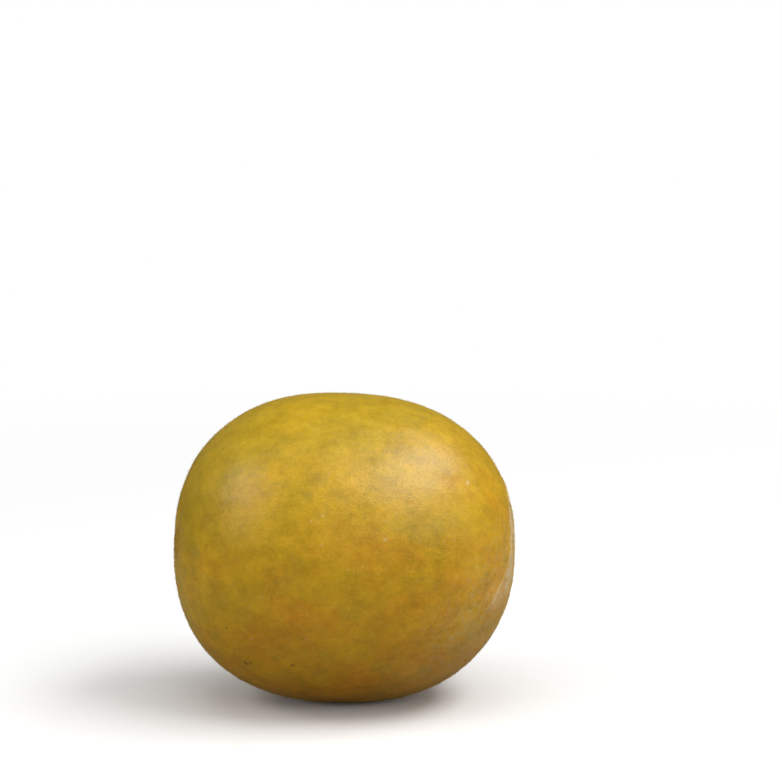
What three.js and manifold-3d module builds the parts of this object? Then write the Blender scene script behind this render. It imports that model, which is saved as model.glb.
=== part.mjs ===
// A whole dried monk fruit, lying on the small flat spot on its belly. It is one solid: the rind,
// the scar where the stalk was and the scar of the blossom grew as one piece.
// Millimetres, +Z up. The fruit's own axis runs along X, with the stem end at +X, a little lower
// than the blossom end at -X. The origin is on the surface that it lies on, under the middle of
// its box.
import * as THREE from "three";
import { mergeVertices } from "three/addons/utils/BufferGeometryUtils.js";
import Module from "manifold-3d";

const LENGTH = 63.6; // along the axis, over the full shoulders of both ends
const DIAMETER = 58; // across the belly
const STEM_FULLNESS = 2.28; // superellipse power of the half: 2 is an ellipse, more is blunter
const BLOSSOM_FULLNESS = 2.39;
const FLAT_DEPTH = 0.35; // how much of the belly the resting spot takes off
const STEM_DIP = THREE.MathUtils.degToRad(3.5); // how far the axis leans down at the stem end

// Faint ribs that run from end to end. A share is the rise over the radius, and turn is where
// around the fruit, in radians, the first crest stands.
const RIBS = [
  { count: 2, share: 0.0025, turn: 0.9 },
  { count: 3, share: 0.0035, turn: 0.4 },
  { count: 7, share: 0.0014, turn: 0.2 },
];

// The relief of each end, as soft rings around the axis. A height over 0 stands out of the end and
// one under 0 sinks into it, and a ring of radius 0 is a round dimple or button.
const STEM_SCAR = [
  { radius: 0, width: 6.2, height: -0.7 }, // the shallow hollow that the scar lies in
  { radius: 2.3, width: 0.75, height: 0.55 }, // the corky collar that the stalk grew out of
  { radius: 0, width: 1.15, height: -1.3 }, // the pit of the stalk's core
];
const BLOSSOM_SCAR = [
  { radius: 0, width: 4.2, height: -0.35 }, // the hollow
  { radius: 1.75, width: 0.5, height: 0.4 }, // the ring of the flower's base
  { radius: 0, width: 0.75, height: 0.35 }, // the button of the style
];

const STATIONS = 60; // steps of the profile from end to end
const SEGMENTS = 60; // steps around the axis
const POLE_CROWDING = 0.82; // 0 spaces the stations evenly, 1 brings them all the way to the scars

const wasm = await Module();
wasm.setup();

// How far the rings of a scar lift the surface at a distance from the axis.
function relief(rings, fromAxis) {
  return rings.reduce(
    (sum, ring) => sum + ring.height * Math.exp(-(((fromAxis - ring.radius) / ring.width) ** 2)),
    0,
  );
}

// The profile's point at an angle from the stem end's direction, as distance from the axis and
// place along it: a superellipse of one power on the stem's half and another on the blossom's.
function profilePoint(angle) {
  const along = Math.cos(angle);
  const across = Math.sin(angle);
  const power = along > 0 ? STEM_FULLNESS : BLOSSOM_FULLNESS;
  const reach =
    (Math.abs((2 * along) / LENGTH) ** power + Math.abs((2 * across) / DIAMETER) ** power) **
    (-1 / power);
  const fromAxis = reach * across;
  const scar = relief(along > 0 ? STEM_SCAR : BLOSSOM_SCAR, fromAxis);
  return new THREE.Vector2(fromAxis, reach * along + Math.sign(along) * scar);
}

// From the blossom end to the stem end, with the stations closest together at the scars.
function profile() {
  const points = [];
  for (let i = 0; i <= STATIONS; i += 1) {
    const turn = (2 * Math.PI * i) / STATIONS;
    const angle = Math.PI - (turn - POLE_CROWDING * Math.sin(turn)) / 2;
    points.push(profilePoint(angle));
  }
  points[0].x = 0;
  points[STATIONS].x = 0;
  return points;
}

// Swells the turned body into its faint ribs, which die away at both ends.
function raiseRibs(geometry) {
  const position = geometry.getAttribute("position");
  for (let i = 0; i < position.count; i += 1) {
    const around = Math.atan2(position.getZ(i), position.getY(i));
    const fade = Math.max(0, 1 - ((2 * position.getX(i)) / LENGTH) ** 2);
    const swell = RIBS.reduce(
      (sum, rib) => sum + rib.share * Math.cos(rib.count * (around - rib.turn)),
      0,
    );
    position.setY(i, position.getY(i) * (1 + fade * swell));
    position.setZ(i, position.getZ(i) * (1 + fade * swell));
  }
  return geometry;
}

function solidOf(geometry) {
  const bare = geometry.clone();
  bare.deleteAttribute("normal");
  bare.deleteAttribute("uv");
  const merged = mergeVertices(bare, 1e-3);
  return new wasm.Manifold(
    new wasm.Mesh({
      numProp: 3,
      vertProperties: merged.getAttribute("position").array,
      triVerts: new Uint32Array(merged.index.array),
    }),
  );
}

function geometryOf(solid) {
  const mesh = solid.getMesh();
  const geometry = new THREE.BufferGeometry();
  geometry.setAttribute("position", new THREE.BufferAttribute(mesh.vertProperties, 3));
  geometry.setIndex(new THREE.BufferAttribute(mesh.triVerts, 1));
  geometry.computeVertexNormals();
  return geometry;
}

// Takes the resting spot off the lowest side and stands the body on it, over the origin.
function standOnFlat(geometry) {
  geometry.computeBoundingBox();
  const floor = geometry.boundingBox.min.z + FLAT_DEPTH;
  const below = new THREE.BoxGeometry(2 * LENGTH, 2 * DIAMETER, DIAMETER);
  below.translate(0, 0, floor - DIAMETER / 2);
  const stood = geometryOf(solidOf(geometry).subtract(solidOf(below)));
  stood.computeBoundingBox();
  const centre = stood.boundingBox.getCenter(new THREE.Vector3());
  return stood.translate(-centre.x, -centre.y, -stood.boundingBox.min.z);
}

function makeMonkFruit() {
  const body = new THREE.LatheGeometry(profile(), SEGMENTS);
  body.rotateZ(-Math.PI / 2); // the lathe turns about Y, and the fruit's axis is X
  raiseRibs(body).rotateY(STEM_DIP);
  const rind = new THREE.MeshStandardMaterial({ color: 0xad8a28, roughness: 0.6, metalness: 0 });
  const fruit = new THREE.Mesh(standOnFlat(body), rind);
  fruit.name = "monk_fruit";
  return fruit;
}

const part = new THREE.Group();
part.add(makeMonkFruit());

export default part;
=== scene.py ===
"""A whole dried monk fruit: its downy rind with the scars of both ends, and the studio that it lies in.

Metres, +Z up. The fruit's own axis runs along X, with the stem end at +X and the blossom end at -X.
"""

import math
import random
from collections import namedtuple

import bmesh
import bpy
from bpy.props import FloatProperty, FloatVectorProperty, IntProperty, PointerProperty
from mathutils import Matrix, Vector, noise


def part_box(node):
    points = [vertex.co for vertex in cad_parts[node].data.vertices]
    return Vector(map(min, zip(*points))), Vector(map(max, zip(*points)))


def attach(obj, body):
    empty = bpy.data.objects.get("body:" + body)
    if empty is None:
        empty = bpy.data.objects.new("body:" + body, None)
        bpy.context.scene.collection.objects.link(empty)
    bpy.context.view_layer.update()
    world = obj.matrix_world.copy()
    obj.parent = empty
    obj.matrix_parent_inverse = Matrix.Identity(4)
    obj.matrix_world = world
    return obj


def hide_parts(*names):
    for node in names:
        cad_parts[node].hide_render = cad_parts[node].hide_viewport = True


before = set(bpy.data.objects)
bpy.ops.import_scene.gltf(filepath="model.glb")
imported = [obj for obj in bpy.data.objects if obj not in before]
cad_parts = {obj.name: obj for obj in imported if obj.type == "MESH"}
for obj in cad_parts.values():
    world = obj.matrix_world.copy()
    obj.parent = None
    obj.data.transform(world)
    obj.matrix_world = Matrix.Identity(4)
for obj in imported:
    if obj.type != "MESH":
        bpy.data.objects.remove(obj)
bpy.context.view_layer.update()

bl_info = {
    "name": "Dried Monk Fruit",
    "version": (1, 0, 0),
    "blender": (4, 5, 0),
    "location": "View3D > Sidebar > Monk Fruit",
    "description": "Makes a whole dried monk fruit and the studio it lies in",
    "category": "Object",
}

MM = 0.001
FRUIT_LOW, FRUIT_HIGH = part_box("monk_fruit")
FRUIT_SIZE = FRUIT_HIGH - FRUIT_LOW
STEM_DIP = math.radians(3.5)  # how far the fruit's axis leans down at the stem end
MIDDLE = Vector((0, 0, FRUIT_HIGH.z - FRUIT_SIZE.y / 2))  # of the whole body, on its own axis

ROOT_DEPTH = 0.03 * MM  # how far a hair's root goes into the rind
CLEAR_OF_FLOOR = 1 * MM  # no hair stands lower than this
BELLY_FADE = (-0.27, -0.15)  # radians below the level where the corky patch is gone, and whole
FLOOR_RADIUS = 0.6
FLOOR_FADE = (0.08, 0.4)  # where the floor begins to run into the white room, and where it has

# A soft ring around the axis. A height over 0 stands out of the end, and one under 0 sinks in.
Ring = namedtuple("Ring", "radius width height")
STEM_RINGS = (
    Ring(0, 6.2 * MM, -0.7 * MM),  # the shallow hollow that the scar lies in
    Ring(2.3 * MM, 0.75 * MM, 0.55 * MM),  # the corky collar that the stalk grew out of
    Ring(0, 1.15 * MM, -1.3 * MM),  # the pit of the stalk's core
)
BLOSSOM_RINGS = (
    Ring(0, 4.2 * MM, -0.35 * MM),  # the hollow
    Ring(1.75 * MM, 0.5 * MM, 0.4 * MM),  # the ring of the flower's base
    Ring(0, 0.75 * MM, 0.35 * MM),  # the button of the style
)

# A faint rib runs from end to end. Its share is the rise over the radius, and turn says where
# around the fruit, in radians, the first crest stands.
Rib = namedtuple("Rib", "count share turn")
RIBS = (Rib(2, 0.0025, 0.9), Rib(3, 0.0035, 0.4), Rib(7, 0.0014, 0.2))

# A blemish on the rind: its place along the axis, its place around it in degrees, with 0 at the
# front and 90 on top, and its radius.
Mark = namedtuple("Mark", "along around radius")
DARK_MARKS = (
    Mark(-19.5 * MM, -50, 0.7 * MM),
    Mark(-18.7 * MM, -48, 0.45 * MM),
    Mark(-11.6 * MM, -40, 0.55 * MM),
    Mark(-23.6 * MM, -34, 0.4 * MM),
    Mark(7 * MM, 152, 0.5 * MM),
    Mark(-14 * MM, 171, 0.35 * MM),
    Mark(18 * MM, -160, 0.6 * MM),
)
GREY_MARKS = (
    Mark(-9 * MM, 36, 2.4 * MM),
    Mark(-11 * MM, 30, 1.5 * MM),
    Mark(11.8 * MM, 73, 1.6 * MM),
    Mark(-29.5 * MM, 4, 2.2 * MM),
    Mark(5 * MM, 118, 2.6 * MM),
    Mark(-16 * MM, 140, 1.9 * MM),
    Mark(14 * MM, -140, 2.8 * MM),
)
PALE_MARKS = (
    Mark(-18.4 * MM, -11, 0.3 * MM),
    Mark(-19.3 * MM, -32, 0.4 * MM),
    Mark(19.1 * MM, 41, 0.7 * MM),
    Mark(-8.4 * MM, 22, 0.3 * MM),
    Mark(-10.4 * MM, 20, 0.3 * MM),
    Mark(3 * MM, 14, 0.45 * MM),
    Mark(-3 * MM, 160, 0.4 * MM),
    Mark(12 * MM, 128, 0.35 * MM),
)

# A soft lamp: where it stands around the fruit in degrees, how far away, its size and its watts.
# One that doesn't shine leaves no highlight.
Lamp = namedtuple("Lamp", "name azimuth elevation distance width height power shines")
LAMPS = (
    Lamp("key_lamp", 70, 55, 0.8, 0.8, 0.34, 4.1, True),
    Lamp("side_lamp", -85, 40, 0.8, 0.5, 0.3, 1.1, True),
    Lamp("left_lamp", -70, 14, 1.0, 0.5, 0.34, 1.9, False),
    Lamp("front_lamp", 25, 22, 1.2, 0.9, 0.6, 2.6, False),
    Lamp("right_lamp", 60, 12, 1.0, 0.5, 0.34, 1.2, False),
    Lamp("top_lamp", 0, 85, 1.0, 0.9, 0.9, 2.6, False),
)


class RindShape(bpy.types.PropertyGroup):
    """Sizes of the rind."""

    length: FloatProperty(
        name="Length", description="Along the fruit's axis, over both shoulders",
        default=FRUIT_SIZE.x, min=0.02, unit="LENGTH",
    )
    girth: FloatProperty(
        name="Girth", description="Across the belly", default=FRUIT_SIZE.y, min=0.02, unit="LENGTH",
    )
    stem_fullness: FloatProperty(
        name="Stem Fullness", description="2 is an ellipse and more is blunter", default=2.28, min=2,
    )
    blossom_fullness: FloatProperty(
        name="Blossom Fullness", description="2 is an ellipse and more is blunter", default=2.39, min=2,
    )
    waviness: FloatProperty(
        name="Waviness", description="Depth of the dents and swellings that drying leaves",
        default=0.16 * MM, min=0, unit="LENGTH",
    )
    cork_height: FloatProperty(
        name="Cork Height", description="Height of the ridge around the corky patch",
        default=0.34 * MM, min=0, unit="LENGTH",
    )
    stations: IntProperty(
        name="Stations", description="Steps of the profile from end to end", default=264, min=24,
    )
    segments: IntProperty(
        name="Segments", description="Steps around the axis", default=360, min=24,
    )


class RindColours(bpy.types.PropertyGroup):
    """Colours of the rind."""

    olive: FloatVectorProperty(
        name="Olive", description="The greenest rind", subtype="COLOR", default=(0.51, 0.33, 0.005),
        min=0, max=1,
    )
    ochre: FloatVectorProperty(
        name="Ochre", description="The yellow rind", subtype="COLOR", default=(0.62, 0.36, 0.006),
        min=0, max=1,
    )
    amber: FloatVectorProperty(
        name="Amber", description="The ripest rind", subtype="COLOR", default=(0.63, 0.275, 0.006),
        min=0, max=1,
    )
    grey: FloatVectorProperty(
        name="Grey", description="Rubbed smudges", subtype="COLOR", default=(0.3, 0.228, 0.035),
        min=0, max=1,
    )
    umber: FloatVectorProperty(
        name="Umber", description="Dark specks and the pits of the scars", subtype="COLOR",
        default=(0.1, 0.045, 0.012), min=0, max=1,
    )
    # Painted sheen: a pale beige mixed into the rind's colour on the lower front beside the stem end. It
    # is partly the rind's own russet veil and partly the pale sheen of the down there.
    russet_and_sheen: FloatVectorProperty(
        name="Russet and Sheen", description="The russet veil and painted sheen beside the stem end", subtype="COLOR",
        default=(0.62, 0.46, 0.2), min=0, max=1,
    )
    cork: FloatVectorProperty(
        name="Cork", description="Corky ridges and collars", subtype="COLOR",
        default=(0.74, 0.56, 0.33), min=0, max=1,
    )


class DownShape(bpy.types.PropertyGroup):
    """The short down on the rind."""

    count: IntProperty(name="Hairs", description="How many hairs stand", default=45000, min=0)
    length: FloatProperty(
        name="Length", description="Of the longest hairs", default=0.75 * MM, min=0, unit="LENGTH",
    )
    thickness: FloatProperty(
        name="Thickness", description="At the root", default=0.048 * MM, min=0, unit="LENGTH",
    )
    colour: FloatVectorProperty(
        name="Colour", description="Of the hairs", subtype="COLOR", default=(0.82, 0.56, 0.075),
        min=0, max=1,
    )


class StudioSettings(bpy.types.PropertyGroup):
    """The camera, the lights and the floor."""

    azimuth: FloatProperty(
        name="Azimuth", description="Where the camera stands around the fruit; 0 faces its side",
        default=math.radians(-8), subtype="ANGLE",
    )
    elevation: FloatProperty(
        name="Elevation", description="Of the camera above the fruit's middle",
        default=math.radians(11.5), subtype="ANGLE",
    )
    distance: FloatProperty(
        name="Distance", description="From the camera to the fruit's middle", default=0.6, min=0.1,
        unit="LENGTH",
    )
    lens: FloatProperty(
        name="Lens", description="Focal length in millimetres", default=146.8, min=20, subtype="NONE",
    )
    right_of_fruit: FloatProperty(
        name="Right of Fruit",
        description="How far right of the fruit the view's middle is, in frame widths",
        default=0.0596,
    )
    above_fruit: FloatProperty(
        name="Above Fruit",
        description="How far above the fruit the view's middle is, in frame widths",
        default=0.1985,
    )
    floor: FloatVectorProperty(
        name="Floor", description="Colour of the floor", subtype="COLOR", default=(0.97, 0.97, 0.965),
        min=0, max=1,
    )
    bounce: FloatVectorProperty(
        name="Bounce", description="Colour of the light that the floor throws back up", subtype="COLOR",
        default=(0.27, 0.245, 0.175), min=0, max=1,
    )


def superellipse(shape, angle):
    """Distance from the axis and place along it, at an angle from the stem end's direction."""
    along, across = math.cos(angle), math.sin(angle)
    power = shape.stem_fullness if along > 0 else shape.blossom_fullness
    reach = (
        abs(2 * along / shape.length) ** power + abs(2 * across / shape.girth) ** power
    ) ** (-1 / power)
    return reach * across, reach * along


def profile(shape, crowding=0.8):
    """Points from the blossom end to the stem end, closest together at the scars."""
    points = []
    for i in range(shape.stations + 1):
        turn = math.tau * i / shape.stations
        from_axis, along = superellipse(shape, math.pi - (turn - crowding * math.sin(turn)) / 2)
        points.append(Vector((along, 0, from_axis)))
    points[0].z = points[-1].z = 0
    return points


def bell(distance, width):
    """1 in the middle, falling smoothly to 0 a few widths away."""
    return math.exp(-((distance / width) ** 2))


def fade(value, start, end):
    """0 before start and 1 after end, with a smooth ramp between them."""
    t = min(1, max(0, (value - start) / (end - start)))
    return t * t * (3 - 2 * t)


def rough(point, size, octaves=3):
    """Fractal noise from about -1 to 1 with lumps of that size."""
    return noise.fractal(point / size, 1.0, 2.0, octaves, noise_basis="PERLIN_ORIGINAL")


class Surface:
    """Everything that lifts the rind off its turned body, and the masks that colour it.

    A point is given on the turned body, from the middle of the fruit.
    """

    def __init__(self, shape):
        self.shape = shape

    def ribs(self, point):
        """How much the ribs swell the body, as a share of the radius. They die away at the ends."""
        around = math.atan2(point.z, point.y)
        swell = sum(rib.share * math.cos(rib.count * (around - rib.turn)) for rib in RIBS)
        return swell * max(0, 1 - (2 * point.x / self.shape.length) ** 2)

    def cork_edge(self, point):
        """How far inside the corky patch's edge a point lies; negative is outside it.

        The patch lies around the stem end and reaches furthest down the front of the belly.
        """
        if point.x < 0:
            return -1.0
        around = math.atan2(point.z, -point.y)
        lobe = (0.5 + 0.5 * math.cos(around + math.radians(38))) ** 16
        edge = (14 + 10 * lobe) * MM
        edge += 0.6 * MM * rough(point, 6 * MM, 2) + 0.25 * MM * rough(point, 1.2 * MM, 2)
        return edge - math.hypot(point.y, point.z)

    def above_belly(self, point):
        """1 around the side, fading to 0 on the belly, where the corky patch has healed over."""
        return fade(math.atan2(point.z, math.hypot(point.x, point.y)), *BELLY_FADE)

    def scars(self, point):
        """The relief of the end's rings, a little out of round as grown things are."""
        rings = STEM_RINGS if point.x > 0 else BLOSSOM_RINGS
        from_axis = math.hypot(point.y, point.z)
        from_axis += 0.22 * MM * fade(from_axis, 0, 1.5 * MM) * rough(point, 1.6 * MM, 3)
        return sum(ring.height * bell(from_axis - ring.radius, ring.width) for ring in rings)

    def lift(self, point):
        """Height of the fine relief over the turned body, apart from the ribs."""
        stretched = Vector((point.x * 0.6, point.y, point.z))
        from_axis = math.hypot(point.y, point.z)
        height = self.shape.waviness * (
            rough(stretched, 13 * MM, 3) + 0.25 * rough(stretched, 2.4 * MM, 2)
        )
        inside = self.cork_edge(point)
        ridge = bell(inside, 0.32 * MM) * (0.6 + 0.5 * rough(point, 5 * MM, 2))
        scab = fade(inside, 0, 1.2 * MM) * (0.35 + 0.5 * rough(point, 1.1 * MM, 3))
        corky = ridge + 0.45 * scab * fade(from_axis, 4 * MM, 9 * MM)
        height += self.shape.cork_height * corky * self.above_belly(point)
        return height + self.scars(point)

    def cork(self, point):
        """1 on the corky ridge, less on the scabby patch inside it."""
        inside = self.cork_edge(point)
        worn = 0.45 + 0.55 * bell(inside, 5 * MM)
        patch = fade(inside, -0.1 * MM, 0.8 * MM) * worn * (0.6 + 0.75 * rough(point, 3 * MM, 4))
        ridge = bell(inside, 0.34 * MM) * (0.95 + 0.5 * rough(point, 2.5 * MM, 2))
        return min(1, max(0, patch) + max(0, ridge)) * (0.08 + 0.92 * self.above_belly(point))

    def stem(self, point):
        """Fades from 1 on the stem's scar to 0 on the rind around it."""
        return 1 - fade(math.hypot(point.y, point.z), 2.6 * MM, 5.5 * MM) if point.x > 0 else 0.0

    def blossom(self, point):
        """Fades from 1 on the blossom's scar to 0 on the rind around it."""
        return 1 - fade(math.hypot(point.y, point.z), 1.9 * MM, 4.4 * MM) if point.x < 0 else 0.0


def piece_from(bm, name):
    """A new object at the origin that holds the bmesh, with smooth faces that point out."""
    bmesh.ops.recalc_face_normals(bm, faces=bm.faces)
    for face in bm.faces:
        face.smooth = True
    mesh = bpy.data.meshes.new(name)
    bm.to_mesh(mesh)
    bm.free()
    piece = bpy.data.objects.new(name, mesh)
    bpy.context.scene.collection.objects.link(piece)
    return piece


def settled(point):
    """Where a point of the upright body goes when the fruit lies down."""
    return Matrix.Rotation(STEM_DIP, 3, "Y") @ point + MIDDLE


def on_rind(shape, mark):
    """The place of a mark on the fruit as it lies."""
    power = shape.stem_fullness if mark.along > 0 else shape.blossom_fullness
    share = 1 - abs(2 * mark.along / shape.length) ** power
    from_axis = shape.girth / 2 * share ** (1 / power)
    around = math.radians(mark.around)
    return settled(Vector((mark.along, -from_axis * math.cos(around), from_axis * math.sin(around))))


def make_rind_mesh(shape):
    """Turns the profile about the axis, lifts its relief and presses the resting spot flat."""
    bm = bmesh.new()
    chain = [bm.verts.new(point) for point in profile(shape)]
    edges = [bm.edges.new(pair) for pair in zip(chain, chain[1:])]
    bmesh.ops.spin(
        bm, geom=chain + edges, cent=(0, 0, 0), axis=(1, 0, 0), angle=math.tau,
        steps=shape.segments, use_merge=True,
    )
    bmesh.ops.remove_doubles(bm, verts=bm.verts, dist=1e-6)
    bmesh.ops.recalc_face_normals(bm, faces=bm.faces)
    surface = Surface(shape)
    masks = {name: bm.verts.layers.float.new(name) for name in ("cork", "stem", "blossom")}
    bm.normal_update()
    for vert in bm.verts:
        body = vert.co.copy()
        for name, layer in masks.items():
            vert[layer] = getattr(surface, name)(body)
        swell = 1 + surface.ribs(body)
        lifted = Vector((body.x, body.y * swell, body.z * swell)) + vert.normal * surface.lift(body)
        vert.co = settled(lifted)
        vert.co.z = max(vert.co.z, FRUIT_LOW.z)
    return piece_from(bm, "rind")


class NodeBuilder:
    """Places nodes in a tree and joins them."""

    def __init__(self, tree):
        self.tree = tree

    def add(self, kind, values=None, **settings):
        """A node with its settings, and its inputs set to values or joined to the sockets given."""
        node = self.tree.nodes.new(kind)
        for name, value in settings.items():
            setattr(node, name, value)
        for name, value in (values or {}).items():
            socket = node.inputs[name]
            if isinstance(value, bpy.types.NodeSocket):
                self.tree.links.new(value, socket)
            elif socket.type == "RGBA":
                socket.default_value = (*value[:3], 1)
            else:
                socket.default_value = value
        return node

    def math(self, operation, a, b=0.0, clamp=False):
        """One sum of two values."""
        node = self.add("ShaderNodeMath", {0: a, 1: b}, operation=operation, use_clamp=clamp)
        return node.outputs[0]

    def blend(self, factor, a, b, kind="MIX"):
        """The colour between a and b."""
        node = self.add(
            "ShaderNodeMix", {0: factor, 6: a, 7: b}, data_type="RGBA", blend_type=kind,
        )
        return node.outputs[2]

    def colour_ramp(self, value, *stops):
        """Runs through the colours of the (place, colour) stops."""
        node = self.add("ShaderNodeValToRGB", {0: value})
        elements = node.color_ramp.elements
        for i, (place, colour) in enumerate(stops):
            element = elements[i] if i < len(elements) else elements.new(place)
            element.position = place
            element.color = (*colour[:3], 1)
        return node.outputs[0]

    def ramp(self, value, low, high):
        """0 below low and 1 above high, smooth between them."""
        node = self.add(
            "ShaderNodeMapRange", {"Value": value, "From Min": low, "From Max": high},
            interpolation_type="SMOOTHSTEP",
        )
        return node.outputs["Result"]


def new_group(name, inputs, outputs):
    """A shader node group and its two ends. Inputs are (name, socket type, default)."""
    group = bpy.data.node_groups.new(name, "ShaderNodeTree")
    for label, kind, default in inputs:
        socket = group.interface.new_socket(label, in_out="INPUT", socket_type=kind)
        if default is not None:
            socket.default_value = default
    for label, kind in outputs:
        group.interface.new_socket(label, in_out="OUTPUT", socket_type=kind)
    nodes = NodeBuilder(group)
    return group, nodes, nodes.add("NodeGroupInput").outputs, nodes.add("NodeGroupOutput").inputs


def clouds_group():
    """Clouds with detail down to the finest, drawn out along the fruit, from about -1 to 1."""
    group, nodes, given, result = new_group(
        "clouds",
        [
            ("Vector", "NodeSocketVector", None),
            ("Size", "NodeSocketFloat", 0.01),
            ("Drawn Out", "NodeSocketFloat", 1.5),
            ("Fineness", "NodeSocketFloat", 0.7),
            ("Seed", "NodeSocketFloat", 0.0),
        ],
        [("Value", "NodeSocketFloat")],
    )
    parts = nodes.add("ShaderNodeSeparateXYZ", {0: given["Vector"]}).outputs
    shortened = nodes.math("DIVIDE", parts[0], given["Drawn Out"])
    stretched = nodes.add("ShaderNodeCombineXYZ", {0: shortened, 1: parts[1], 2: parts[2]})
    fractal = nodes.add(
        "ShaderNodeTexNoise",
        {
            "Vector": stretched.outputs[0], "W": given["Seed"], "Detail": 7.0,
            "Roughness": given["Fineness"], "Scale": nodes.math("DIVIDE", 1.0, given["Size"]),
        },
        noise_dimensions="4D",
    )
    centred = nodes.math("SUBTRACT", fractal.outputs[0], 0.5)
    nodes.tree.links.new(nodes.math("MULTIPLY", centred, 5.0), result["Value"])
    return group


def mark_group():
    """A soft ragged patch around one place, as a mask from 0 to 1."""
    group, nodes, given, result = new_group(
        "mark",
        [
            ("Vector", "NodeSocketVector", None),
            ("Place", "NodeSocketVector", None),
            ("Radius", "NodeSocketFloat", 0.001),
        ],
        [("Mask", "NodeSocketFloat")],
    )
    away = nodes.add(
        "ShaderNodeVectorMath", {0: given["Vector"], 1: given["Place"]}, operation="DISTANCE",
    ).outputs["Value"]
    ragged = nodes.add(
        "ShaderNodeTexNoise",
        {
            "Vector": given["Vector"], "Detail": 4.0,
            "Scale": nodes.math("DIVIDE", 1.0, given["Radius"]),
        },
    ).outputs[0]
    share = nodes.math("DIVIDE", away, given["Radius"])
    share = nodes.math("ADD", share, nodes.math("MULTIPLY", ragged, 1.6))
    nodes.tree.links.new(nodes.math("SUBTRACT", 1.0, nodes.ramp(share, 0.9, 1.8)), result["Mask"])
    return group


def speckle_group():
    """Scattered small specks, a little taller than wide, as a mask from 0 to 1."""
    group, nodes, given, result = new_group(
        "speckle",
        [
            ("Vector", "NodeSocketVector", None),
            ("Spacing", "NodeSocketFloat", 0.002),
            ("Size", "NodeSocketFloat", 0.2),
            ("Share", "NodeSocketFloat", 0.3),
        ],
        [("Mask", "NodeSocketFloat")],
    )
    lowered = nodes.add("ShaderNodeMapping", {"Vector": given["Vector"], "Scale": (1, 1, 0.55)})
    cells = nodes.add(
        "ShaderNodeTexVoronoi",
        {"Vector": lowered.outputs[0], "Scale": nodes.math("DIVIDE", 1.0, given["Spacing"])},
    )
    chance = nodes.add("ShaderNodeSeparateColor", {0: cells.outputs["Color"]}).outputs
    reach = nodes.math("MULTIPLY", given["Size"], nodes.math("ADD", 0.5, chance[1]))
    dot = nodes.math("SUBTRACT", 1.0, nodes.math("DIVIDE", cells.outputs["Distance"], reach), clamp=True)
    there = nodes.math("LESS_THAN", chance[0], given["Share"])
    nodes.tree.links.new(nodes.math("MULTIPLY", dot, there), result["Mask"])
    return group


def new_material(name):
    """An empty material, its node builder and its output socket."""
    material = bpy.data.materials.new(name)
    material.use_nodes = True
    material.node_tree.nodes.clear()
    nodes = NodeBuilder(material.node_tree)
    return material, nodes, nodes.add("ShaderNodeOutputMaterial").inputs["Surface"]


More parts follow.
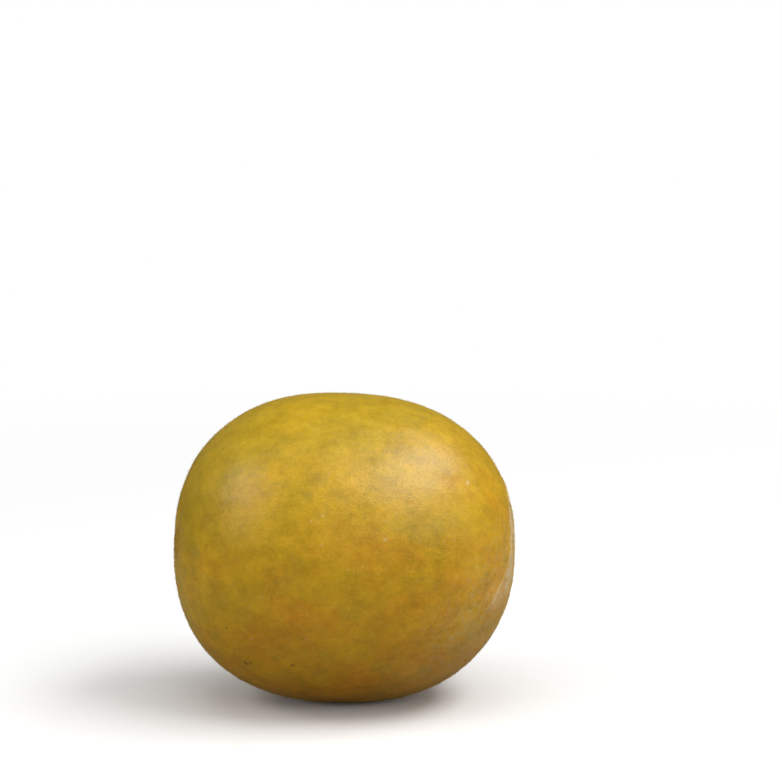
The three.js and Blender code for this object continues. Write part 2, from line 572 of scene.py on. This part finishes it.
def rind_material(shape, colours):
    """Olive above ripening to amber below, mottled and rubbed, corky on the patch and the scars."""
    material, nodes, surface = new_material("downy rind")
    place = nodes.add("ShaderNodeTexCoord").outputs["Object"]
    groups = {"clouds": clouds_group(), "speckle": speckle_group(), "mark": mark_group()}

    def effect(kind, **values):
        """One of the shared effects, by its inputs' names in lower case."""
        node = nodes.add("ShaderNodeGroup", node_tree=groups[kind])
        nodes.tree.links.new(place, node.inputs["Vector"])
        for name, value in values.items():
            node.inputs[name.replace("_", " ").title()].default_value = value
        return node.outputs[0]

    def mask(name):
        return nodes.add("ShaderNodeAttribute", attribute_name=name).outputs["Fac"]

    def marked(marks):
        """Where any of the marks is."""
        found = 0.0
        for mark in marks:
            spot = effect("mark", place=on_rind(shape, mark), radius=mark.radius)
            found = nodes.math("MAXIMUM", found, spot)
        return found

    centred = nodes.add("ShaderNodeMapping", {"Vector": place, "Location": -MIDDLE}).outputs[0]
    to_ripe_side = nodes.add(
        "ShaderNodeVectorMath",
        {0: centred, 1: Vector((0.25, -0.35, -0.85)).normalized() / (29 * MM)},
        operation="DOT_PRODUCT",
    ).outputs["Value"]
    ripeness = nodes.math("ADD", 0.46, nodes.math("MULTIPLY", to_ripe_side, 0.42))
    broad = effect("clouds", size=11 * MM, drawn_out=1.35, fineness=0.8, seed=1.3)
    ripeness = nodes.math("ADD", ripeness, nodes.math("MULTIPLY", broad, 0.4))
    colour = nodes.colour_ramp(
        ripeness, (0.1, colours.olive), (0.5, colours.ochre), (0.95, colours.amber),
    )
    veil = nodes.ramp(effect("clouds", size=6 * MM, drawn_out=1.4, fineness=0.78, seed=6.37), 0.0, 1.0)
    colour = nodes.blend(nodes.math("MULTIPLY", veil, 0.44), colour, colours.grey)
    colour = nodes.blend(nodes.math("MULTIPLY", marked(GREY_MARKS), 0.36), colour, colours.grey)
    # Painted sheen: beside the stem end on the lower front, a pale beige is mixed into the colour. It is
    # partly the rind's own russet veil and partly the pale sheen of the down there.
    to_russet_and_sheen_side = nodes.add(
        "ShaderNodeVectorMath",
        {0: centred, 1: Vector((1, -0.35, -0.7)).normalized() / (29 * MM)},
        operation="DOT_PRODUCT",
    ).outputs["Value"]
    russet_and_sheen = nodes.ramp(effect("clouds", size=0.9 * MM, drawn_out=1.0, fineness=0.7, seed=3.1), -0.6, 0.9)
    russet_and_sheen = nodes.math("MULTIPLY", nodes.ramp(to_russet_and_sheen_side, 0.6, 1.0), russet_and_sheen)
    colour = nodes.blend(nodes.math("MULTIPLY", russet_and_sheen, 0.6), colour, colours.russet_and_sheen)
    pale = nodes.math("MULTIPLY", effect("speckle", spacing=0.9 * MM, size=0.2, share=0.35), 0.3)
    pale = nodes.math("MAXIMUM", pale, nodes.math("MULTIPLY", marked(PALE_MARKS), 0.55))
    colour = nodes.blend(pale, colour, colours.cork)
    dark = nodes.math("MULTIPLY", effect("speckle", spacing=1.7 * MM, size=0.12, share=0.25), 0.5)
    dark = nodes.math("MAXIMUM", dark, nodes.math("MULTIPLY", marked(DARK_MARKS), 0.7))
    colour = nodes.blend(dark, colour, colours.umber)
    colour = nodes.blend(mask("cork"), colour, colours.cork)
    ends = nodes.math("MAXIMUM", mask("stem"), nodes.math("MULTIPLY", mask("blossom"), 0.6))
    colour = nodes.blend(nodes.math("MULTIPLY", ends, 0.6), colour, colours.umber)
    grain = effect("clouds", size=5 * MM, drawn_out=1.2, fineness=0.85, seed=9.7)
    tone = nodes.math("ADD", 0.98, nodes.math("MULTIPLY", grain, 0.31))
    toned = nodes.add("ShaderNodeVectorMath", {0: colour, "Scale": tone}, operation="SCALE")
    fine = nodes.add("ShaderNodeTexNoise", {"Vector": place, "Scale": 1 / (0.5 * MM), "Detail": 3.0})
    bump = nodes.add(
        "ShaderNodeBump", {"Strength": 1.0, "Distance": 0.06 * MM, "Height": fine.outputs[0]},
    )
    gloss = nodes.math("ADD", 0.37, nodes.math("MULTIPLY", grain, 0.07))
    shader = nodes.add(
        "ShaderNodeBsdfPrincipled",
        {
            "Base Color": toned.outputs["Vector"],
            "Roughness": gloss,
            "IOR": 1.6,
            "Sheen Weight": 0.04, "Sheen Roughness": 0.3, "Sheen Tint": (1.0, 0.8, 0.5),
            "Normal": bump.outputs[0],
        },
    )
    nodes.tree.links.new(shader.outputs[0], surface)
    return material


def down_material(down):
    """Pale hairs that catch the light."""
    material, nodes, surface = new_material("down")
    place = nodes.add("ShaderNodeTexCoord").outputs["Object"]
    tone = nodes.add("ShaderNodeTexNoise", {"Vector": place, "Scale": 1 / (3 * MM)}).outputs[0]
    darker = [channel * 0.6 for channel in down.colour]
    colour = nodes.blend(tone, darker, down.colour)
    shader = nodes.add("ShaderNodeBsdfPrincipled", {"Base Color": colour, "Roughness": 0.5})
    nodes.tree.links.new(shader.outputs[0], surface)
    return material


def make_down_mesh(down, rind):
    """Lays three-sided hairs all over the rind, most of them around the fruit."""
    bm = bmesh.new()
    bmesh.ops.create_cone(
        bm, cap_ends=True, segments=3, radius1=down.thickness / 2, radius2=0, depth=1,
    )
    bmesh.ops.translate(bm, verts=bm.verts, vec=(0, 0, 0.5))
    bmesh.ops.remove_doubles(bm, verts=bm.verts, dist=1e-6)
    hair = piece_from(bm, "hair")
    array = hair.modifiers.new("copies", "ARRAY")
    array.use_relative_offset = False
    array.count = down.count
    evaluated = hair.evaluated_get(bpy.context.evaluated_depsgraph_get())
    mesh = bpy.data.meshes.new_from_object(evaluated)
    points = [tuple(v.co) for v in hair.data.vertices]
    draw = random.Random(7)
    polygons = [p for p in rind.data.polygons if p.center.z > CLEAR_OF_FLOOR]
    roots = draw.choices(polygons, weights=[p.area for p in polygons], k=down.count)
    places = []
    for root in roots:
        normal = root.normal
        around = math.atan2(root.center.z - MIDDLE.z, -root.center.y)
        lay = Vector((0.4, math.sin(around), math.cos(around)))
        lay += 0.7 * noise.noise_vector(root.center / (5 * MM))
        lay += 0.5 * Vector((draw.uniform(-1, 1), draw.uniform(-1, 1), draw.uniform(-1, 1)))
        lay -= lay.dot(normal) * normal
        stand = (normal * draw.uniform(0.15, 0.8) + lay.normalized()).normalized()
        side = stand.cross(normal).normalized()
        other = stand.cross(side)
        length = down.length * draw.uniform(0.35, 1)
        corners = [rind.data.vertices[i].co for i in (*root.vertices, root.vertices[-1])]
        one_side = corners[0].lerp(corners[1], draw.random())
        other_side = corners[3].lerp(corners[2], draw.random())
        foot = one_side.lerp(other_side, draw.random()) - normal * ROOT_DEPTH
        for x, y, z in points:
            places.extend(foot + side * x + other * y + stand * (z * length))
    mesh.vertices.foreach_set("co", places)
    mesh.update()
    mesh.name = "down"
    bpy.data.objects.remove(hair)
    piece = bpy.data.objects.new("down", mesh)
    piece.visible_shadow = False
    bpy.context.scene.collection.objects.link(piece)
    return piece


class MONKFRUIT_OT_rind(bpy.types.Operator):
    """Makes the rind with the scars of both ends"""

    bl_idname = "monkfruit.rind"
    bl_label = "Make the Rind"

    def execute(self, context):
        settings = context.scene.monk_fruit
        rind = make_rind_mesh(settings.rind)
        rind.data.materials.append(rind_material(settings.rind, settings.colours))
        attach(rind, "root")
        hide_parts("monk_fruit")
        return {"FINISHED"}


class MONKFRUIT_OT_down(bpy.types.Operator):
    """Stands the short down on the rind"""

    bl_idname = "monkfruit.down"
    bl_label = "Make the Down"

    def execute(self, context):
        rind = bpy.data.objects.get("rind")
        if rind is None:
            raise RuntimeError("Make the rind before its down")
        settings = context.scene.monk_fruit
        down = make_down_mesh(settings.down, rind)
        down.data.materials.append(down_material(settings.down))
        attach(down, "root")
        return {"FINISHED"}


def aim(thing, target):
    """Turns a lamp or a camera to look at the target."""
    thing.rotation_euler = (target - thing.location).to_track_quat("-Z", "Y").to_euler()


def around_fruit(azimuth, elevation, distance):
    """A place around the fruit's middle. Azimuth 0 is in front of its side and 90 degrees at +X."""
    middle = (FRUIT_LOW + FRUIT_HIGH) / 2
    level = math.cos(elevation)
    return middle + distance * Vector(
        (math.sin(azimuth) * level, -math.cos(azimuth) * level, math.sin(elevation))
    )


def softbox(lamp):
    """A plain rectangular lamp that faces the fruit."""
    data = bpy.data.lights.new(lamp.name, "AREA")
    data.shape = "RECTANGLE"
    data.size = lamp.width
    data.size_y = lamp.height
    data.energy = lamp.power
    piece = bpy.data.objects.new(lamp.name, data)
    piece.visible_glossy = lamp.shines
    piece.location = around_fruit(
        math.radians(lamp.azimuth), math.radians(lamp.elevation), lamp.distance,
    )
    aim(piece, (FRUIT_LOW + FRUIT_HIGH) / 2)
    bpy.context.scene.collection.objects.link(piece)


def make_camera(studio):
    """Looks past the fruit, so that it sits low and left in the frame."""
    data = bpy.data.cameras.new("camera")
    data.lens = studio.lens
    camera = bpy.data.objects.new("camera", data)
    camera.location = around_fruit(studio.azimuth, studio.elevation, studio.distance)
    middle = (FRUIT_LOW + FRUIT_HIGH) / 2
    frame_width = data.sensor_width / data.lens * studio.distance
    right = Vector((math.cos(studio.azimuth), math.sin(studio.azimuth), 0))
    up = right.cross(middle - camera.location).normalized()
    offset = right * studio.right_of_fruit + up * studio.above_fruit
    aim(camera, middle + offset * frame_width)
    bpy.context.scene.collection.objects.link(camera)
    bpy.context.scene.camera = camera


def floor_material(studio):
    """A matte pale floor that runs into the white of the room with distance."""
    material, nodes, surface = new_material("floor")
    place = nodes.add("ShaderNodeTexCoord").outputs["Object"]
    distance = nodes.add("ShaderNodeVectorMath", {0: place}, operation="LENGTH").outputs["Value"]
    seen = nodes.add("ShaderNodeLightPath").outputs["Is Camera Ray"]
    paint = nodes.add("ShaderNodeBsdfDiffuse", {"Color": nodes.blend(seen, studio.bounce, studio.floor)})
    white = nodes.add("ShaderNodeEmission", {"Color": (1, 1, 1), "Strength": seen})
    mix = nodes.add(
        "ShaderNodeMixShader",
        {0: nodes.ramp(distance, *FLOOR_FADE), 1: paint.outputs[0], 2: white.outputs[0]},
    )
    nodes.tree.links.new(mix.outputs[0], surface)
    return material


def make_floor(studio):
    """A round floor under the fruit."""
    bm = bmesh.new()
    bmesh.ops.create_circle(bm, cap_ends=True, radius=FLOOR_RADIUS, segments=96)
    floor = piece_from(bm, "floor")
    floor.data.materials.append(floor_material(studio))


def make_room():
    """The camera sees a white room, and the fruit is lit by a dimmer one."""
    world = bpy.data.worlds.new("room")
    world.use_nodes = True
    world.node_tree.nodes.clear()
    nodes = NodeBuilder(world.node_tree)
    rays = nodes.add("ShaderNodeLightPath").outputs
    strength = nodes.math("ADD", 0.3, nodes.math("MULTIPLY", rays["Is Camera Ray"], 0.7))
    strength = nodes.math("SUBTRACT", strength, nodes.math("MULTIPLY", rays["Is Glossy Ray"], 0.24))
    light = nodes.add("ShaderNodeBackground", {"Color": (1, 1, 1), "Strength": strength})
    out = nodes.add("ShaderNodeOutputWorld")
    world.node_tree.links.new(light.outputs[0], out.inputs["Surface"])
    bpy.context.scene.world = world


class MONKFRUIT_OT_studio(bpy.types.Operator):
    """Sets the camera, the soft lamps, the floor and the room"""

    bl_idname = "monkfruit.studio"
    bl_label = "Set the Studio"

    def execute(self, context):
        studio = context.scene.monk_fruit.studio
        context.scene.view_settings.view_transform = "Standard"
        make_camera(studio)
        for lamp in LAMPS:
            softbox(lamp)
        make_floor(studio)
        make_room()
        return {"FINISHED"}


class MonkFruitSettings(bpy.types.PropertyGroup):
    """All the settings, one group for each piece."""

    rind: PointerProperty(type=RindShape)
    colours: PointerProperty(type=RindColours)
    down: PointerProperty(type=DownShape)
    studio: PointerProperty(type=StudioSettings)


class VIEW3D_PT_monk_fruit(bpy.types.Panel):
    """Lists the pieces and their settings"""

    bl_label = "Monk Fruit"
    bl_space_type = "VIEW_3D"
    bl_region_type = "UI"
    bl_category = "Monk Fruit"

    def draw(self, context):
        settings = context.scene.monk_fruit
        for operator, groups in (
            (MONKFRUIT_OT_rind, (settings.rind, settings.colours)),
            (MONKFRUIT_OT_down, (settings.down,)),
            (MONKFRUIT_OT_studio, (settings.studio,)),
        ):
            box = self.layout.box()
            box.operator(operator.bl_idname)
            for group in groups:
                for name in group.__annotations__:
                    box.prop(group, name)


CLASSES = (
    RindShape,
    RindColours,
    DownShape,
    StudioSettings,
    MonkFruitSettings,
    MONKFRUIT_OT_rind,
    MONKFRUIT_OT_down,
    MONKFRUIT_OT_studio,
    VIEW3D_PT_monk_fruit,
)


def register():
    for cls in CLASSES:
        bpy.utils.register_class(cls)
    bpy.types.Scene.monk_fruit = PointerProperty(type=MonkFruitSettings)


def unregister():
    del bpy.types.Scene.monk_fruit
    for cls in reversed(CLASSES):
        bpy.utils.unregister_class(cls)


def main():
    register()
    bpy.ops.monkfruit.studio()
    bpy.ops.monkfruit.rind()
    bpy.ops.monkfruit.down()


if __name__ == "__main__":
    main()
